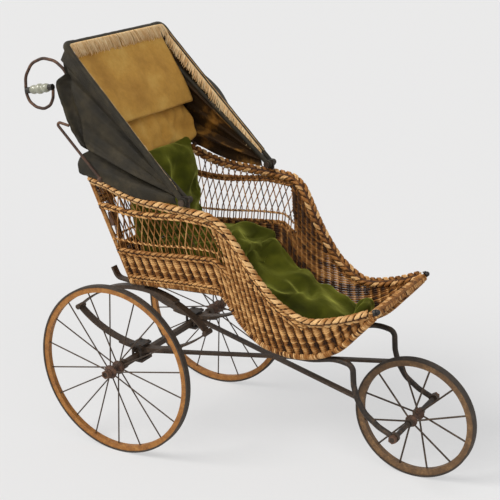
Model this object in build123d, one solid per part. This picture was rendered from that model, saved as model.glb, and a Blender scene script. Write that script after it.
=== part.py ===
from build123d import *
import math
import os

os.makedirs("parts", exist_ok=True)

# Driving dimensions in millimetres, rear axle at X 0, front towards +X, right side at -Y
X_ORIGIN = 313.97
REAR_R = 254.0
REAR_Y = 276.5
REAR_TYRE_W = 18.0
REAR_RIM_DEPTH = 15.0
REAR_SPOKES = 18
FRONT_R = 175.0
FRONT_X = 811.0
FRONT_TYRE_W = 20.0
FRONT_RIM_DEPTH = 17.0
FRONT_SPOKES = 12
TYRE_T = 5.0
REAR_AXLE_R = 8.0
FRONT_AXLE_R = 7.0
RUN_CLEAR = 0.05
SPRING_Y = 145.0
SPRING_X0 = -215.0
SPRING_X1 = 235.0
AXLE_SQUARE = 16.0
PERCH_T = 8.0
PERCH_W = 16.0
PERCH_Z = REAR_R + AXLE_SQUARE / 2
LEAF_T = 6.0
LEAF_W = 26.0
SPRING_LOW_Z = PERCH_Z + PERCH_T + 1.5 * LEAF_T
SPRING_END_Z = SPRING_LOW_Z + 88.0
SPRING_TOP_Z = SPRING_END_Z + 94.0
BODY_LEVEL = 483.0
BODY_Z = SPRING_TOP_Z + 22.0
FORK_Y = 137.0
FORK_R = 8.0
RAIL_Y = 149.0
RAIL_W = 20.0
RAIL_T = 7.0
WALL_T = 8.0
FLOOR_T = 10.0
RIM_ROLL_R = 14.0
FRONT_ROLL_R = 13.0
BAND_R = 5.0
BORDER_R = 6.0
RIB_R = 3.0
RIB_PITCH = 54.0
STAKE_LEAN = 0.234
BAYS = 10
PIVOT_X = 232.0
PIVOT_Z = BODY_Z + 291.0
PIVOT_R = 5.0
BOW_R = 7.0
FRONT_BOW_DEG = 43.9
FRONT_BOW_LEN = 542.0
FRONT_BOW_Y0 = 241.5
FRONT_BOW_Y1 = 231.0
MID_BOW_DEG = 49.0
MID_BOW_LEN = 524.0
MID_BOW_Y0 = 219.0
MID_BOW_Y1 = 213.0
HANDLE_Y = 160.0
HANDLE_R = 4.5
REST_R = 4.0

# Turned grip: radius and distance along the grip
GRIP_PROFILE = [(0, 15), (7.5, 15), (7.5, 18), (9.5, 21), (10, 25), (9, 29), (7.5, 32), (10.5, 36), (12, 40.5),
                (10.5, 45), (7.5, 49), (9, 52), (10, 56), (9.5, 60), (7.5, 63), (7.5, 66), (0, 66)]


def up(z):
    """A height of the body, drawn with its floor at BODY_LEVEL, carried on the springs."""
    return z - BODY_LEVEL + BODY_Z


def lifted(table):
    return [(row[0], up(row[1]), *row[2:]) for row in table]


# Top edge of the basket: X, Z and half width
RIM = lifted([(-85, 795, 228), (-45, 789, 229), (40, 763, 230), (110, 752, 231), (220, 746, 232), (300, 740, 231),
       (338, 720, 226), (362, 690, 219), (385, 652, 212), (426, 588, 203), (495, 512, 192), (578, 474, 181),
       (666, 492, 172), (757, 529, 166)])
# Lower edge of the basket: X, Z and half width
BOTTOM = lifted([(-12, 483, 158), (290, 498, 158), (320, 469, 157), (350, 425, 155), (428, 366, 152), (506, 353, 150),
          (566, 361, 150), (641, 394, 152), (713, 465, 156), (757, 514, 161)])
BACK_TOP = (-85.0, up(795.0), 228.0)
BACK_LOW = (-12.0, up(483.0), 158.0)
FRONT_ROLL = (757.0, up(524.0))


def lerp(table, x, k):
    for a, b in zip(table, table[1:]):
        if x <= b[0]:
            return a[k] + (b[k] - a[k]) * (x - a[0]) / (b[0] - a[0])
    return table[-1][k]


def lower_edge(x):
    if x >= BACK_LOW[0]:
        return lerp(BOTTOM, x, 1), lerp(BOTTOM, x, 2)
    s = (x - BACK_LOW[0]) / (BACK_TOP[0] - BACK_LOW[0])
    return BACK_LOW[1] + s * (BACK_TOP[1] - BACK_LOW[1]), BACK_LOW[2] + s * (BACK_TOP[2] - BACK_LOW[2])


def rod(p, q, r):
    p, q = Vector(*p), Vector(*q)
    axis = q - p
    return Plane(origin=p, z_dir=axis) * Cylinder(r, axis.length, align=(Align.CENTER, Align.CENTER, Align.MIN))


def ycyl(x, z, y0, y1, r):
    return rod((x, y0, z), (x, y1, z), r)


def bent_rod(points, radii, r):
    path = FilletPolyline(*points, radius=radii)
    return sweep(Plane(origin=path @ 0, z_dir=path % 0) * Circle(r), path=path)


def xz_plane(y):
    return Plane(origin=(0, y, 0), x_dir=(1, 0, 0), z_dir=(0, -1, 0))


def xz_slab(points, y0, y1):
    outline = make_face(Polyline(*points, close=True))
    return extrude(xz_plane((y0 + y1) / 2) * outline, amount=(y1 - y0) / 2, both=True)


def ring(x, y, z, r_out, r_in, width):
    return ycyl(x, z, y - width / 2, y + width / 2, r_out) - ycyl(x, z, y - width / 2 - 1, y + width / 2 + 1, r_in)


def wheel(name, x, y, r, width, depth, count, hub_half, flange_y, flange_r, barrel_r, axle_r, spoke_r, phase):
    rim_out = r - TYRE_T
    rim_in = rim_out - depth
    tyre = ring(x, y, r, r, rim_out, width)
    felloe = ring(x, y, r, rim_out, rim_in, width - 3)
    bore = axle_r + RUN_CLEAR
    half = [(0, barrel_r - 2), (flange_y - 8, barrel_r), (flange_y - 5, flange_r - 2), (flange_y - 2, flange_r),
            (flange_y + 2, flange_r), (flange_y + 5, flange_r - 2), (flange_y + 8, barrel_r), (hub_half - 2, barrel_r),
            (hub_half, barrel_r - 2)]
    outline = [(b, a) for a, b in half] + [(bore, hub_half), (bore, -hub_half)] + [(b, -a) for a, b in half[:0:-1]]
    turned = revolve(Plane.XZ * make_face(Polyline(*outline, close=True)), Axis.Z)
    hub = Plane(origin=(x, y, r), z_dir=(0, 1, 0)) * turned
    spokes = []
    for i in range(count):
        a = math.radians(phase + 360 * i / count)
        side = 1 if i % 2 else -1
        start = (x + (flange_r - 3) * math.cos(a), y + side * flange_y, r + (flange_r - 3) * math.sin(a))
        end = (x + (rim_in + 2) * math.cos(a), y + side * 2, r + (rim_in + 2) * math.sin(a))
        spokes.append(rod(start, end, spoke_r))
    return {name + "_tyre": tyre, name + "_rim": felloe, name + "_hub": hub,
            name + "_spokes": Compound(children=spokes)}


def arc_z(x, z_end, z_mid):
    half = (SPRING_X1 - SPRING_X0) / 2
    rise = abs(z_end - z_mid)
    radius = (half * half + rise * rise) / (2 * rise)
    dx = x - (SPRING_X0 + SPRING_X1) / 2
    drop = radius - math.sqrt(radius * radius - dx * dx)
    return z_mid + drop if z_end > z_mid else z_mid - drop


def leaf(x0, x1, z_end, z_mid, shift, y):
    xm = (x0 + x1) / 2
    pts = [(x, arc_z(x, z_end, z_mid) + shift) for x in (x0, xm, x1)]
    low = ThreePointArc(*[(a, b - LEAF_T / 2) for a, b in pts])
    high = ThreePointArc(*[(a, b + LEAF_T / 2) for a, b in reversed(pts)])
    outline = make_face(low + Line(low @ 1, high @ 0) + high + Line(high @ 1, low @ 0))
    return extrude(xz_plane(y) * outline, amount=LEAF_W / 2, both=True)


def wall_point(side, x, v, inset=0.0):
    """A point on a side wall, from 0 at the lower edge to 1 at the rim."""
    zb, yb = lower_edge(x)
    zt, yt = lerp(RIM, x, 1), lerp(RIM, x, 2)
    return (x, side * (yb + (yt - yb) * v - inset), zb + (zt - zb) * v)


def low_band(x):
    return 0.345 + 0.095 * max(x, -40) / 290


def top_band(x):
    return min(0.80 + 0.163 * x / 290, 0.94)


def open_bays(left, right, low, bar, high, bays):
    """Outlines of the openings of one wall: upright slots below the bar, and a zigzag of triangles above it."""
    def at(share, v):
        return left(v) + (right(v) - left(v)) * share, v

    outlines = []
    for i in range(bays):
        a, b, mid = i / bays, (i + 1) / bays, (i + 0.5) / bays
        gap = 0.22 / bays
        outlines.append([at(a + gap / 2, low), at(mid - gap / 2, low), at(mid - gap / 2, bar), at(a + gap / 2, bar)])
        outlines.append([at(mid + gap / 2, low), at(b - gap / 2, low), at(b - gap / 2, bar), at(mid + gap / 2, bar)])
        foot = bar + 0.035
        outlines.append([at(a + gap, foot), at(b - gap, foot), at(mid, high - 0.03)])
        if i:
            outlines.append([at(a - 0.5 / bays + gap, high), at(mid - gap, high), at(a, foot + 0.03)])
    return outlines


def side_openings(side):
    """Prisms that cut the open work of a side wall between its two bands."""
    def rear(v):
        return BACK_LOW[0] + (BACK_TOP[0] - BACK_LOW[0]) * v + 16

    def front(v):
        return 322 - (v - 0.44) * 60

    prisms = []
    for outline in open_bays(rear, front, 0.0, 0.25, 1.0, BAYS):
        points = []
        for x, f in outline:
            v = low_band(x) + 0.03 + (top_band(x) - low_band(x) - 0.06) * f
            shift = rear(v) - rear(f)
            points.append(wall_point(side, x + shift * (1 - (x - rear(f)) / 400), v))
        prisms.append(xz_slab([(q[0], q[2]) for q in points], *sorted((side * 120, side * 260))))
    return prisms


def back_openings():
    """Prisms that cut the open work of the back wall, clear of the handle brackets."""
    prisms = []
    for outline in open_bays(lambda f: -128, lambda f: 128, 0.0, 0.25, 1.0, BAYS - 2):
        points = [(y, BACK_LOW[1] + (BACK_TOP[1] - BACK_LOW[1]) * (0.38 + 0.38 * f)) for y, f in outline]
        face = make_face(Polyline(*points, close=True))
        plane = Plane(origin=((BACK_LOW[0] + BACK_TOP[0]) / 2, 0, 0), x_dir=(0, 1, 0), z_dir=(1, 0, 0))
        prisms.append(extrude(plane * face, amount=90, both=True))
    return prisms


def leaning_stakes(side):
    """Stakes that show through the close weave, parallel to the rear edge."""
    stakes = []
    x = 20.0
    while x < 680:
        low = wall_point(side, x, 0.10, 0.5)
        v = low_band(x) - 0.03 if x < 330 else 0.95
        lean = STAKE_LEAN * (wall_point(side, x, v)[2] - low[2]) * (1.0 if x < 330 else 0.45)
        stakes.append(rod(low, wall_point(side, x - lean, v, 0.5), RIB_R))
        x += RIB_PITCH
    return stakes


def wall_section(side, x):
    """Outline of a side wall at a station: wrapped border at the foot, two plaited bands that run out at the front."""
    edge = []
    fade = min(1.0, max(0.0, (345 - x) / 30))
    height = wall_point(side, x, 1)[2] - wall_point(side, x, 0)[2]
    foot = min(2 * BORDER_R / height, 0.12)
    edge += [(0.0, BORDER_R - 1), (foot, BORDER_R - 1), (foot + 0.02, 0)]
    for v in (low_band(min(x, 345)), top_band(min(x, 345))):
        edge += [(v - 0.022, 0), (v - 0.012, BAND_R * fade), (v + 0.012, BAND_R * fade), (v + 0.022, 0)]
    edge += [(1.0, 0)]
    outer = [wall_point(side, x, v, -proud) for v, proud in edge]
    inner = [wall_point(side, x, v, WALL_T) for v in (1.0, 0.0)]
    return Face(Wire(Polyline(*outer, *inner, close=True).edges()))


def side_panel(side):
    stations = [-78, -60, -40, -12, 40, 110, 220, 290, 300, 320, 338, 350, 362, 385, 426, 460, 506, 566, 620, 666,
                713, 746]
    panel = loft([wall_section(side, x) for x in stations], ruled=True)
    return panel - side_openings(side) + leaning_stakes(side)


def floor_panel():
    stations = [-3, 40, 290, 320, 350, 385, 428, 460, 506, 566, 620, 641, 680, 713, 746]
    sections = []
    for x in stations:
        zb, yb = lower_edge(x)
        zt, yt = lerp(RIM, x, 1), lerp(RIM, x, 2)
        slope = (yt - yb) / (zt - zb)
        y0 = yb - WALL_T - 1.2
        y1 = y0 + slope * FLOOR_T
        pts = [(-y0, zb), (y0, zb), (y1, zb + FLOOR_T), (-y1, zb + FLOOR_T)]
        wire = Polyline(*[(x, a, b) for a, b in pts], close=True)
        sections.append(Face(Wire(wire.edges())))
    return loft(sections, ruled=True)


def bow(deg, length, y0, y1, corner, eye_y, eye_w):
    a = math.radians(deg)
    vx, vz = -math.sin(a), math.cos(a)

    def at(y, v):
        return (PIVOT_X + vx * v, y, PIVOT_Z + vz * v)

    path = [at(-y0, 9), at(-y1, length), at(y1, length), at(y0, 9)]
    shape = bent_rod(path, corner, BOW_R)
    for side in (-1, 1):
        shape += ycyl(PIVOT_X, PIVOT_Z, side * eye_y - eye_w / 2, side * eye_y + eye_w / 2, 11)
        shape -= ycyl(PIVOT_X, PIVOT_Z, side * eye_y - eye_w, side * eye_y + eye_w, PIVOT_R + RUN_CLEAR)
    return shape


nodes = {}

# Wheels
for name, side in (("rear_right", -1), ("rear_left", 1)):
    nodes.update(wheel(name, 0, side * REAR_Y, REAR_R, REAR_TYRE_W, REAR_RIM_DEPTH, REAR_SPOKES, 33, 18, 20, 13,
                       REAR_AXLE_R, 2.0, 10))
nodes.update(wheel("front", FRONT_X, 0, FRONT_R, FRONT_TYRE_W, FRONT_RIM_DEPTH, FRONT_SPOKES, 36, 25, 17, 11,
                   FRONT_AXLE_R, 2.6, 15))

# Axles with their nuts
rear_axle = Pos(0, 0, REAR_R) * Box(AXLE_SQUARE, 2 * 228, AXLE_SQUARE)
nuts = []
for side in (-1, 1):
    rear_axle += ycyl(0, REAR_R, side * 226, side * 243, 14)
    rear_axle += ycyl(0, REAR_R, side * 240, side * 318, REAR_AXLE_R)
    nut = Plane(origin=(0, side * 310.2, REAR_R), z_dir=(0, side, 0)) * extrude(RegularPolygon(13, 6), 11)
    nuts.append(nut - ycyl(0, REAR_R, side * 300, side * 330, REAR_AXLE_R))
front_axle = ycyl(FRONT_X, FRONT_R, -155.3, 155.3, FRONT_AXLE_R)
for side in (-1, 1):
    front_axle += ycyl(FRONT_X, FRONT_R, side * 36.6, side * 46, 11)
    nut = Plane(origin=(FRONT_X, side * 145.3, FRONT_R), z_dir=(0, side, 0)) * extrude(RegularPolygon(12, 6), 10)
    nuts.append(nut - ycyl(FRONT_X, FRONT_R, side * 140, side * 165, FRONT_AXLE_R))
nodes["rear_axle"] = rear_axle
nodes["front_axle"] = front_axle
nodes["axle_nuts"] = Compound(children=nuts)

# Fork arms that carry the front axle: they leave the floor and drop to the axle
ARM_TOP_Z = up(356)
ARM_REAR = [(470, up(344)), (566, up(349)), (636, up(366)), (686, ARM_TOP_Z)]
ARM_FRONT = [(689, 0.69), (700, 0.48), (724, 0.27), (764, 0.11), (802, 0.017)]
ARM_ROUTE = ARM_REAR + [(x, FRONT_R + share * (ARM_TOP_Z - FRONT_R)) for x, share in ARM_FRONT]


def arm_x(z):
    """X of the arm where it drops past a height."""
    drop = sorted((b, a) for a, b in ARM_ROUTE[3:])
    return lerp(drop, z, 1)


for name, side in (("fork_arm_right", -1), ("fork_arm_left", 1)):
    y = side * FORK_Y
    arm = bent_rod([(a, y, b) for a, b in ARM_ROUTE], [200, 120, 22, 60, 60, 60, 60], FORK_R)
    arm += ycyl(FRONT_X, FRONT_R, y - 6, y + 6, 13)
    nodes[name] = arm - ycyl(FRONT_X, FRONT_R, y - 20, y + 20, FRONT_AXLE_R)

# Perch bars, crossed and half lapped
def perch(side, z0, z1, grow=0.0):
    p, q = Vector(-16, -side * 154.6), Vector(arm_x(PERCH_Z) - 3, side * (FORK_Y - 4))
    run = q - p
    turn = math.degrees(math.atan2(run.Y, run.X))
    mid = (p + q) * 0.5
    return Pos(mid.X, mid.Y, (z0 + z1) / 2) * Rot(0, 0, turn) * Box(run.length, PERCH_W + grow, z1 - z0)


half = PERCH_Z + PERCH_T / 2
top = PERCH_Z + PERCH_T
nodes["perch_bar_a"] = perch(-1, PERCH_Z, top) - perch(1, half, top + 1) - nodes["fork_arm_right"]
nodes["perch_bar_b"] = perch(1, PERCH_Z, top) - perch(-1, PERCH_Z - 1, half) - nodes["fork_arm_left"]

# Elliptic springs, clamps and end bolts
clamps = []
eyes = []
for name, side in (("right", -1), ("left", 1)):
    y = side * SPRING_Y
    bolts = [ycyl(x, SPRING_END_Z, y - 16, y + 16, 8) for x in (SPRING_X0, SPRING_X1)]
    low = leaf(SPRING_X0, SPRING_X1, SPRING_END_Z, SPRING_LOW_Z, 0, y)
    low += leaf(-70, 90, SPRING_END_Z, SPRING_LOW_Z, -LEAF_T, y)
    high = leaf(SPRING_X0, SPRING_X1, SPRING_END_Z, SPRING_TOP_Z, 0, y)
    high += leaf(-116, 136, SPRING_END_Z, SPRING_TOP_Z, LEAF_T, y)
    for bolt in bolts:
        low -= bolt
        high -= bolt
    nodes["spring_" + name + "_lower"] = low
    nodes["spring_" + name + "_upper"] = high
    eyes += bolts
    clamp = Pos(0, y, REAR_R - 12) * Box(42, 52, 8)
    clamp += Pos(0, y, SPRING_LOW_Z + 8) * Box(42, 52, 7)
    for dx in (-13, 13):
        for dy in (-21, 21):
            clamp += rod((dx, y + dy, REAR_R - 14), (dx, y + dy, SPRING_LOW_Z + 14), 4)
    clamps.append(clamp - low)
nodes["spring_clamps"] = Compound(children=clamps)
nodes["spring_end_bolts"] = Compound(children=eyes)

# Basket: plaited rim, walls, floor and front roll
rim_back = ycyl(BACK_TOP[0], BACK_TOP[1], -BACK_TOP[2], BACK_TOP[2], RIM_ROLL_R)
front_roll = ycyl(*FRONT_ROLL, -166, 166, FRONT_ROLL_R)
floor = floor_panel() - front_roll
for name, side in (("right", -1), ("left", 1)):
    route = [(x, side * y, z) for x, z, y in RIM]
    roll = bent_rod(route, [60, 60, 60, 60, 45, 60, 60, 60, 60, 90, 90, 90], RIM_ROLL_R)
    nodes["basket_rim_" + name] = roll - front_roll
    nodes["basket_side_" + name] = side_panel(side) - roll - rim_back - front_roll
    rim_back -= roll
back_sections = []
for x, z, y in (BACK_LOW, BACK_TOP):
    yy = y - WALL_T - 0.8
    wire = Polyline((x, -yy, z), (x + WALL_T, -yy, z), (x + WALL_T, yy, z), (x, yy, z), close=True)
    back_sections.append(Face(Wire(wire.edges())))
rolls = nodes["basket_rim_right"] + nodes["basket_rim_left"]
back_panel = loft(back_sections, ruled=True) - back_openings()
for v in (0.35, 0.79):
    x, z = BACK_LOW[0] + (BACK_TOP[0] - BACK_LOW[0]) * v, BACK_LOW[1] + (BACK_TOP[1] - BACK_LOW[1]) * v
    half_y = BACK_LOW[2] + (BACK_TOP[2] - BACK_LOW[2]) * v - WALL_T - 4
    back_panel += ycyl(x + 1, z, -half_y, half_y, BAND_R)
nodes["basket_back"] = back_panel - rim_back - rolls
nodes["basket_floor"] = floor - nodes["basket_back"]
nodes["basket_rim_back"] = rim_back
for name in ("fork_arm_right", "fork_arm_left"):
    nodes[name] -= nodes["basket_floor"]
nodes["basket_front_roll"] = front_roll
knobs = []
for side in (-1, 1):
    tip = Vector(FRONT_ROLL[0], side * 166, FRONT_ROLL[1] + 5)
    out = Vector(0.925, -side * 0.061, 0.376)
    knob = rod(tip, tip + out * 8, 9) + Pos(*(tip + out * 11)) * Sphere(7)
    knobs.append(knob - front_roll - nodes["basket_rim_" + ("right" if side < 0 else "left")])
nodes["basket_corner_knobs"] = Compound(children=knobs)

# Rails under the basket with upturned tails, and the pads on the springs
pads = []
for name, side in (("right", -1), ("left", 1)):
    y = side * RAIL_Y
    z0, z1 = up(483) - RAIL_T / 2, up(498) - RAIL_T / 2
    path = FilletPolyline((-80, y, up(516)), (-64, y, up(485)), (-12, y, z0), (288, y, z1), radius=[24, 60])
    rail = sweep(Plane(origin=path @ 0, x_dir=(0, 1, 0), z_dir=path % 0) * Rectangle(RAIL_W, RAIL_T), path=path)
    rail = rail - nodes["basket_floor"] - nodes["basket_back"] - nodes["basket_side_" + name]
    nodes["rail_" + name] = rail
    pad = Pos(10, side * SPRING_Y, SPRING_TOP_Z + 10) * Box(44, 24, 16)
    pads.append(pad - rail - nodes["spring_" + name + "_upper"])
nodes["spring_pads"] = Compound(children=pads)

# Cushions
seat_pad = xz_slab([(6, lower_edge(6)[0] + FLOOR_T + 0.3), (290, lower_edge(290)[0] + FLOOR_T + 0.3),
                    (300, up(525)), (300, up(590)), (280, up(604)), (30, up(600)), (6, up(580))], -143, 143)
nodes["seat_cushion"] = seat_pad
leg_low = [(x, lower_edge(x)[0] + FLOOR_T + 0.3) for x in (312, 320, 350, 428, 506, 566, 641, 690)]
leg_high = [(672, 488), (632, 446), (566, 416), (506, 410), (440, 424), (386, 466), (352, 512), (318, 552)]
nodes["leg_cushion"] = xz_slab(leg_low + lifted(leg_high), -132, 132)
back_pad = xz_slab(lifted([(-1, 600.8), (-42, 780), (-20, 826), (20, 826), (40, 760), (60, 600.8)]), -150, 150)
nodes["back_cushion"] = fillet(back_pad.edges().filter_by(Axis.Y), 14)

# Hood pivots, bows, cloth and rests
for name, side in (("right", -1), ("left", 1)):
    plate = Pos(PIVOT_X, side * 230.5, PIVOT_Z - 8) * Box(26, 6, 40)
    plate += ycyl(PIVOT_X, PIVOT_Z, side * 208, side * 251, PIVOT_R)
    plate += ycyl(PIVOT_X, PIVOT_Z, side * 206, side * 210.5, 9)
    plate += ycyl(PIVOT_X, PIVOT_Z, side * 250, side * 253.5, 9)
    nodes["hood_pivot_" + name] = plate - nodes["basket_rim_" + name] - nodes["basket_side_" + name]
nodes["hood_front_bow"] = bow(FRONT_BOW_DEG, FRONT_BOW_LEN, FRONT_BOW_Y0, FRONT_BOW_Y1, 45, 241.5, 11)
nodes["hood_middle_bow"] = bow(MID_BOW_DEG, MID_BOW_LEN, MID_BOW_Y0, MID_BOW_Y1, 45, 219.0, 11)

mid_x = PIVOT_X - MID_BOW_LEN * math.sin(math.radians(MID_BOW_DEG))
mid_z = PIVOT_Z + MID_BOW_LEN * math.cos(math.radians(MID_BOW_DEG))
front_x = PIVOT_X - FRONT_BOW_LEN * math.sin(math.radians(FRONT_BOW_DEG))
front_z = PIVOT_Z + FRONT_BOW_LEN * math.cos(math.radians(FRONT_BOW_DEG))
outline = [(mid_x - 5.5, mid_z - 9.8)] + lifted([(-171, 1062), (-156, 1014), (-126, 955), (-90, 886), (-98, 820)])
cheek = outline + lifted([(-90, 800), (-40, 798), (40, 772), (110, 762), (168, 757), (184, 800)])
hood_back = xz_slab(cheek, 230, 232.5) + xz_slab(cheek, -232.5, -230)
hood_back += xz_slab(outline + [(x + 3, z) for x, z in reversed(outline)], -232, 232)
nodes["hood_back_cloth"] = hood_back - rolls - rim_back
fold_a = xz_slab([(front_x + 3.8, front_z - 6.5), (-20, up(937)), (-26, up(934)), (front_x - 0.2, front_z - 8.5)],
                 -184, 184)
fold_b = xz_slab([(-5, up(846)), (-48, up(940)), (mid_x + 5.9, mid_z - 4.8), (mid_x + 1.9, mid_z - 7.8),
                  (-54, up(937)), (-11, up(843))], -166, 166)
nodes["hood_roof_cloth"] = Compound(children=[fold_a, fold_b])
for name, side in (("right", -1), ("left", 1)):
    route = [(-40, side * 242, up(806)), (-184, side * 247, up(956)), (-138, side * 241, up(945))]
    rest = bent_rod(route, 6, REST_R) + Pos(-40, side * 241.5, up(803)) * Sphere(8)
    nodes["hood_rest_" + name] = rest - nodes["basket_rim_" + name]

# Handle irons, ferrules and grips
ferrules = []
grip_a, grip_b = Vector(-342, 0, up(1013)), Vector(-262, 0, up(1028))
grip_dir = (grip_b - grip_a).normalized()
for name, side in (("right", -1), ("left", 1)):
    y = side * HANDLE_Y
    route = [(-62, 668), (-109, 803), (-190, 1030), (-204, 1080), (-240, 1105), (-284, 1110), (-326, 1092),
             (-352, 1052), (-354, 1006), (-343, 980), (-319, 966), (-291, 963), (-266, 976), (-255, 998), (-253, 1022)]
    iron = bent_rod([(a, y, up(b)) for a, b in route],
                    [120, 60, 50, 50, 50, 50, 50, 50, 30, 30, 30, 30, 30], HANDLE_R)
    iron += Pos(-62, y, up(668)) * Rot(0, -13.2, 0) * Box(14, 26, 40)
    nodes["handle_iron_" + name] = iron - nodes["basket_back"]
    a = Vector(grip_a.X, y, grip_a.Z)
    for start, stop in ((-9, 15), (66, 90)):
        cap = rod(a + grip_dir * start, a + grip_dir * stop, 9)
        ferrules.append(cap - iron)
    turned = revolve(Plane.XZ * make_face(Polyline(*GRIP_PROFILE, close=True)), Axis.Z)
    nodes["handle_grip_" + name] = Plane(origin=a, z_dir=grip_dir) * turned
nodes["handle_ferrules"] = Compound(children=ferrules)

for node, shape in nodes.items():
    export_step(Pos(-X_ORIGIN, 0, 0) * shape, "parts/" + node + ".step")
box = Compound(children=list(nodes.values())).bounding_box()
print(len(nodes), "nodes, X", round(box.min.X, 2), round(box.max.X, 2), "Y", round(box.min.Y, 2), round(box.max.Y, 2),
      "Z", round(box.min.Z, 2), round(box.max.Z, 2), "middle X", round((box.min.X + box.max.X) / 2, 3))
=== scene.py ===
"""Antique three-wheeled wicker perambulator: the looks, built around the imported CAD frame.

Shapes are worked out in millimetres from the rear axle (X forward, Y to the left, Z up from the ground) and
moved into the shared frame, in metres, when a mesh is made.
"""

import math

import bpy
import numpy as np
from mathutils import Matrix, Vector, noise


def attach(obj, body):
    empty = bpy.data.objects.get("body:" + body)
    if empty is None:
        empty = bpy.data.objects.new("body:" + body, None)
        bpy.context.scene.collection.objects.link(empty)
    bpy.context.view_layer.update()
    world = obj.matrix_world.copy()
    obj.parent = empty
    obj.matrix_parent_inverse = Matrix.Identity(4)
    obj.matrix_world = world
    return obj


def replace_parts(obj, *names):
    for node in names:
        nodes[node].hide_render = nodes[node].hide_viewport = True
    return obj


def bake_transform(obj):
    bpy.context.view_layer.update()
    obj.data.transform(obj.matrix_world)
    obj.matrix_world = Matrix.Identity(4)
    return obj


# Shared frame
AXLE_X = 313.97
MM = 0.001

# Camera, from the wheel ellipses
CAM_PLACE = (1.612448, -2.766514, 1.649944)
CAM_RIGHT = (0.863658, 0.503854, -0.015017)
CAM_DOWN = (0.147106, -0.280425, -0.948537)
CAM_FORWARD = (-0.482135, 0.817002, -0.316311)
CAM_LENS = 85.59
CAM_SENSOR = 36.0

# Basket edges: X, Z and half width along the rim and the bottom
RIM = [(-85, 795, 228), (-45, 789, 229), (40, 763, 230), (110, 752, 231), (220, 746, 232), (300, 740, 231),
       (338, 720, 226), (362, 690, 219), (385, 652, 212), (426, 588, 203), (495, 512, 192), (578, 474, 181),
       (666, 492, 172), (757, 529, 166)]
BOTTOM = [(-12, 483, 158), (290, 498, 158), (320, 469, 157), (350, 425, 155), (428, 366, 152),
          (506, 353, 150), (566, 361, 150), (641, 394, 152), (713, 465, 156), (757, 514, 161)]
REAR_BOTTOM = (-12.0, 483.0, 158.0)
REAR_TOP = (-85.0, 795.0, 228.0)
ROLL_R = 14.0

# Wicker
CANE_R = 3.7
STAKE_PITCH = 27.0
WEAVE_DEPTH = 3.6
CANE_STEP = 3.8
ROW_PITCH = 6.4
LATTICE_PITCH = 21.0
LATTICE_R = 1.7
BAND_HALF = 8.0
RIM_HALF = 12.0
LATTICE_LEAN = 42.0

# Hood
PIVOT = (232.0, 774.0)
MID_DEG = 49.0
MID_LEN = 524.0
FRONT_DEG = 43.9
FRONT_LEN = 542.0
BOW_R = 7.0
BOW_CORNER = 45.0
FOLD_LINE = (-24.0, 944.0)
LINING_HALF = 203.0
HOOD_REAR = [(-158, 1116), (-161, 1086), (-185, 1056), (-172, 1009), (-151, 959), (-138, 936), (-112, 903),
             (-97, 884), (-120, 849), (-125, 818), (-99, 800)]

# Cheeks of the hood by angle from upright round the pivot: half width, and where the ridge lies
CHEEK_FOLDS = [(49, 224), (51.6, 213), (53.6, 227), (62, 229), (70.4, 240), (73.4, 210), (79, 238),
               (84, 242), (130, 238)]
CHEEK_RIDGE = [(49, 0.97), (51, 0.965), (56, 0.845), (59, 0.833), (64, 0.86), (71, 0.94), (75, 1.0)]
RIDGE_DEPTH = 22.0

# Cloth on the bows: half widths of the bow legs at the pivot and at the top, and the trimmings
MID_LEG_Y = (219.0, 213.0)
FRONT_LEG_Y = (241.5, 231.0)
CLOTH_CORNER = 18.0
CLOTH_THICK = 1.6
LINING_THICK = 1.4
FRINGE_LEN = 35.0
FRINGE_START = 44.0
BINDING_R = 8.6

# Line of the handle arms behind the hood: a point on it, its lean, and how far apart the arms stand
ARM_POINT = (-97, 803)
ARM_LEAN = 0.357
ARM_Y = 160.0
ARM_CLEAR_Y = 178.0

# Cushions: pressure of the filling, and fuller places as a shift, its middle (x, z) and its reach
CUSHION_PRESSURE = 3.0
SEAT_SWELLS = [((12, 0, 4), (300, 590), 40)]
LEG_SWELLS = [((-26, 0, 30), (325, 545), 45), ((4, 0, 28), (410, 450), 60), ((0, 0, 34), (500, 412), 75),
              ((-56, 0, -40), (690, 490), 110), ((0, 0, 14), (600, 425), 45),
              ((-8, 0, -26), (645, 455), 42)]
BACK_SWELLS = [((0, 0, 30), (0, 826), 50)]

# Turned grip: distance along it and radius
GRIP = [(8, 8), (9, 10), (14, 12.5), (20, 13.5), (26, 12.5), (30, 10.5), (33, 13), (38, 15), (42, 15.5),
        (46, 15), (51, 13), (54, 10.5), (58, 12.5), (64, 13.5), (70, 12.5), (75, 10), (76, 8)]
GRIP_START = (-342.0, 1013.0)
GRIP_END = (-262.0, 1028.0)

RNG = np.random.default_rng(7)

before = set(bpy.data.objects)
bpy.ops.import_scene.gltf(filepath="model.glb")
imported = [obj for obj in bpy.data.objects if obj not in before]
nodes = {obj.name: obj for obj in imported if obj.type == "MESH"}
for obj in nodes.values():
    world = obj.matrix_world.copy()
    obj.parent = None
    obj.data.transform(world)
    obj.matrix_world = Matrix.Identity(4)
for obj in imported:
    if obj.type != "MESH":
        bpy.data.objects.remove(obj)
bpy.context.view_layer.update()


# Small geometry helpers

def to_row(points):
    """Millimetres from the rear axle to metres in the shared frame."""
    return (np.asarray(points, float) - (AXLE_X, 0, 0)) * MM


def unit(v):
    return v / np.maximum(np.linalg.norm(v, axis=-1, keepdims=True), 1e-9)


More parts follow.
